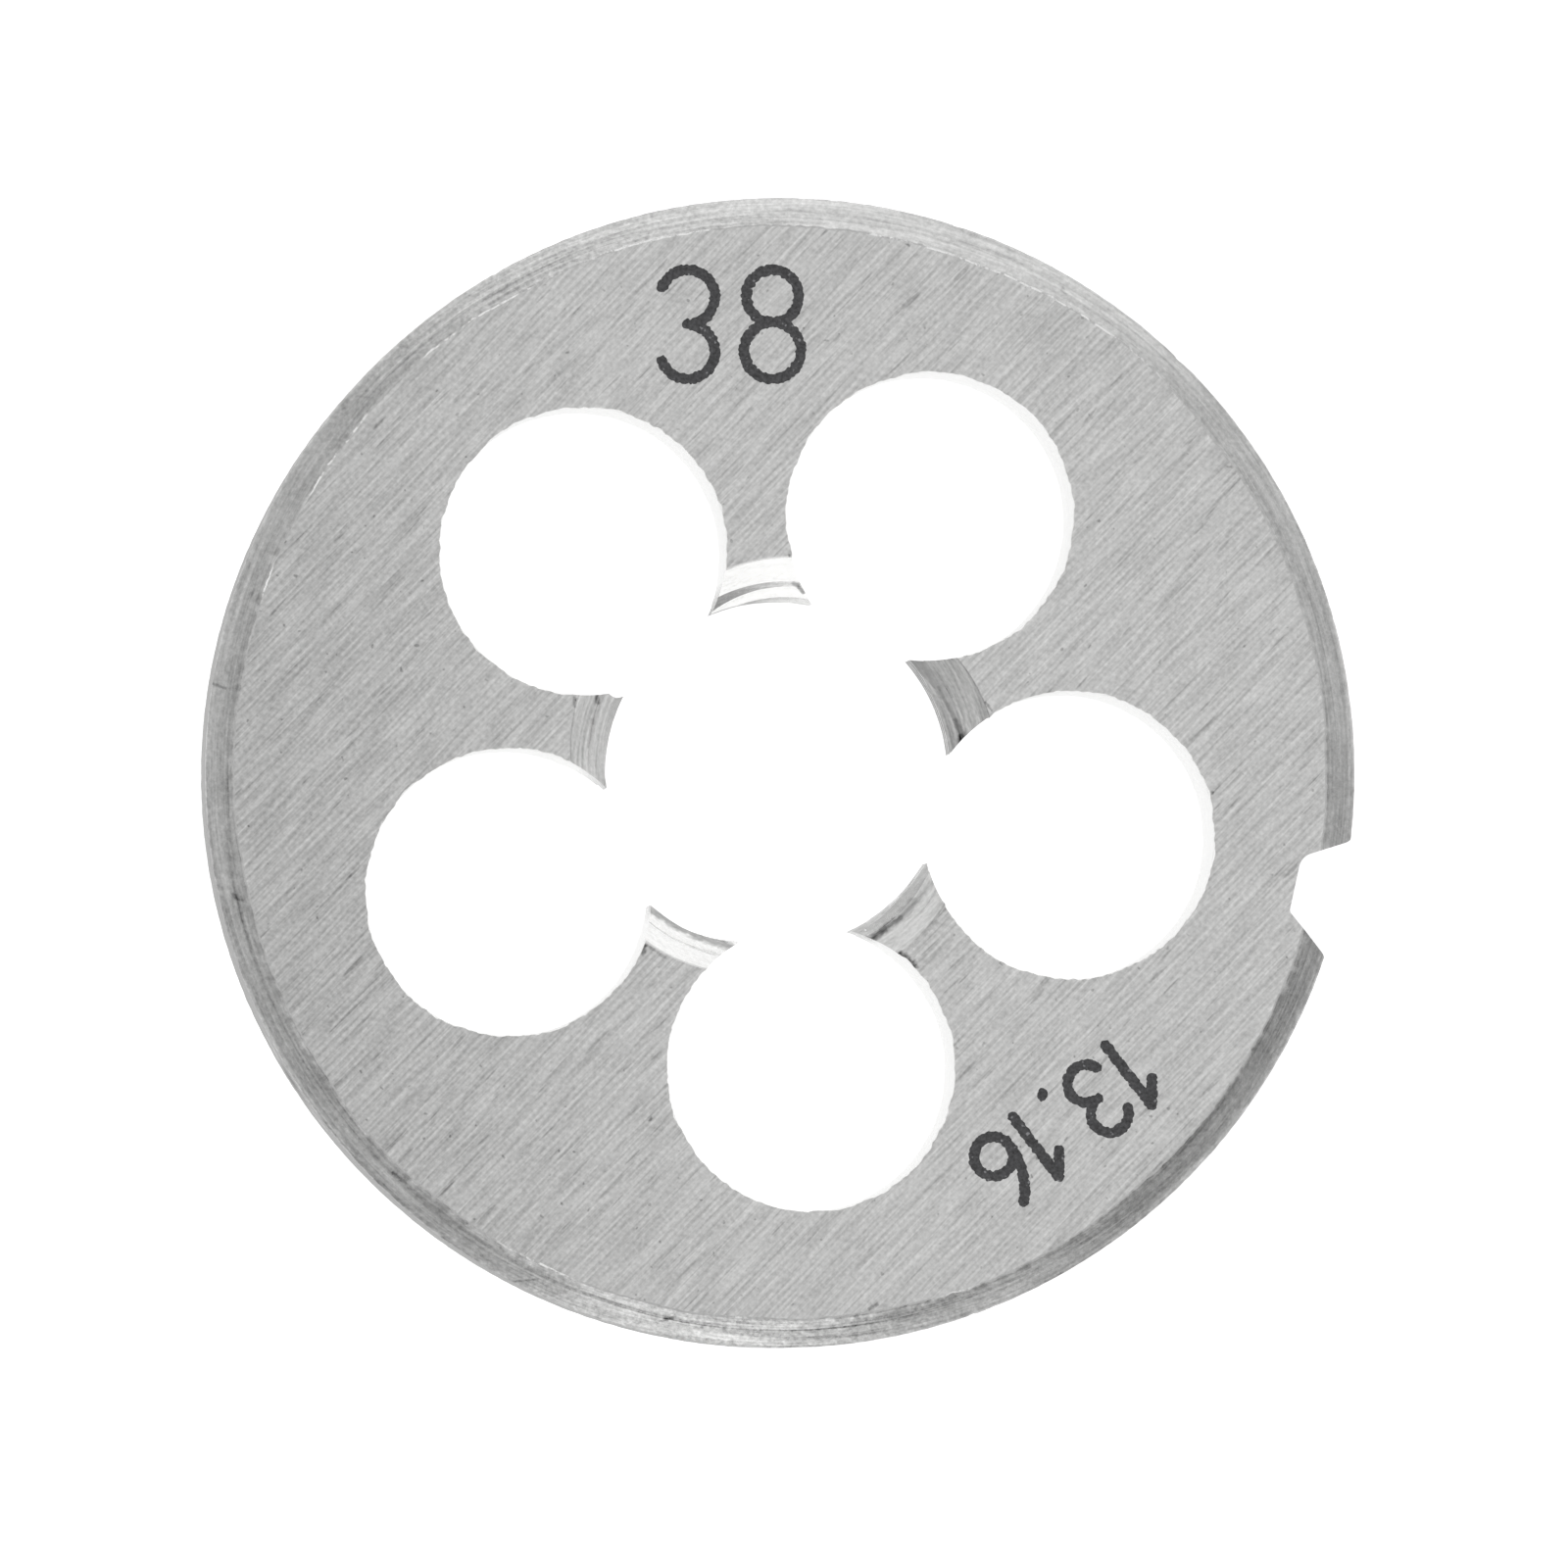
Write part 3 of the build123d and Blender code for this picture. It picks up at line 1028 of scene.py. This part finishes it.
class DIE_OT_stage(bpy.types.Operator):
    """Lay the pale floor, hang the soft lights and place the camera"""

    bl_idname = "object.die_stage"
    bl_label = "Stage"

    def execute(self, context):
        scene, stage = context.scene, context.scene.die_stage
        self.floor(stage)
        self.world(scene)
        turn = Matrix.Rotation(stage.turn, 3, "Z")
        for name, place, width, height, brightness in LAMPS:
            self.panel(name, turn @ Vector(place), width, height, brightness)
        self.camera(scene, stage, turn)
        scene.view_settings.view_transform = "Standard"
        return {"FINISHED"}

    @staticmethod
    def floor(stage):
        """A plain pale floor under the die, with a little light of its own."""
        bm = bmesh.new()
        bmesh.ops.create_grid(bm, x_segments=1, y_segments=1, size=FLOOR_HALF)
        bmesh.ops.translate(bm, verts=bm.verts[:], vec=(0, 0, BOX_LOW.z - FLOOR_GAP))
        shader = Shader("pale_floor")
        surface = shader.node(
            "ShaderNodeBsdfPrincipled",
            {},
            {
                "Base Color": (*stage.floor, 1),
                "Roughness": 0.9,
                "Emission Color": (1, 1, 1, 1),
                "Emission Strength": FLOOR_GLOW,
            },
        )
        shader.node("ShaderNodeOutputMaterial", {}, {"Surface": surface.outputs[0]})
        new_object("floor", bm, shader.material)

    @staticmethod
    def world(scene):
        """A soft surround, dim near the floor and lighter above."""
        world = bpy.data.worlds.new("surround")
        shader = Shader(world)
        light = 0.04 + shader.direction.ramp(0.2, 0.55) * 0.5
        background = shader.node("ShaderNodeBackground", {}, {"Color": (1, 1, 1, 1), "Strength": light})
        shader.node("ShaderNodeOutputWorld", {}, {"Surface": background.outputs[0]})
        scene.world = world

    @staticmethod
    def panel(name, place, width, height, brightness):
        """A soft light that faces the die, as bright all over as a white card in full light at 1."""
        light = bpy.data.lights.new(name, "AREA")
        light.shape = "RECTANGLE"
        light.size, light.size_y = width, height
        light.energy = brightness * math.pi * width * height
        lamp = bpy.data.objects.new(name, light)
        lamp.location = place
        lamp.rotation_euler = (-place).to_track_quat("-Z", "Y").to_euler()
        lamp.visible_camera = False
        bpy.context.scene.collection.objects.link(lamp)

    @staticmethod
    def camera(scene, stage, turn):
        """A distant camera almost straight above the starting face."""
        data = bpy.data.cameras.new("camera")
        data.sensor_width = 36.0
        data.lens = data.sensor_width * stage.distance / stage.frame_width
        data.clip_end = 10.0
        camera = bpy.data.objects.new("camera", data)
        scene.collection.objects.link(camera)
        aim = turn @ Vector(AIM)
        away = turn @ Vector((-math.tan(stage.lean_left), -math.tan(stage.lean_down), 1)).normalized()
        up = turn @ Vector((0, 1, 0))
        right = up.cross(away).normalized()
        up = away.cross(right)
        camera.matrix_world = Matrix.Translation(aim + away * stage.distance) @ Matrix(
            (right, up, away)
        ).transposed().to_4x4()
        scene.camera = camera


class DIE_PT_panel(bpy.types.Panel):
    """Lists what builds the die"""

    bl_label = "Threading die"
    bl_idname = "DIE_PT_panel"
    bl_space_type = "VIEW_3D"
    bl_region_type = "UI"
    bl_category = "Die"

    def draw(self, context):
        layout = self.layout
        for group in ("die_sizes", "die_finish", "die_stage"):
            settings = getattr(context.scene, group)
            for name in settings.bl_rna.properties.keys():
                if name not in ("rna_type", "name"):
                    layout.prop(settings, name)
        layout.operator(DIE_OT_body.bl_idname)
        layout.operator(DIE_OT_stage.bl_idname)


GROUPS = {"die_sizes": DieSizes, "die_finish": DieFinish, "die_stage": DieStage}
CLASSES = (*GROUPS.values(), DIE_OT_body, DIE_OT_stage, DIE_PT_panel)


def register():
    """Makes the settings and the operators known to Blender."""
    for cls in CLASSES:
        bpy.utils.register_class(cls)
    for name, group in GROUPS.items():
        setattr(bpy.types.Scene, name, PointerProperty(type=group))


def unregister():
    """Takes them away again."""
    for name in GROUPS:
        delattr(bpy.types.Scene, name)
    for cls in reversed(CLASSES):
        bpy.utils.unregister_class(cls)


def main():
    """Builds the die and its stage."""
    register()
    bpy.ops.object.die_body()
    bpy.ops.object.die_stage()


if __name__ == "__main__":
    main()
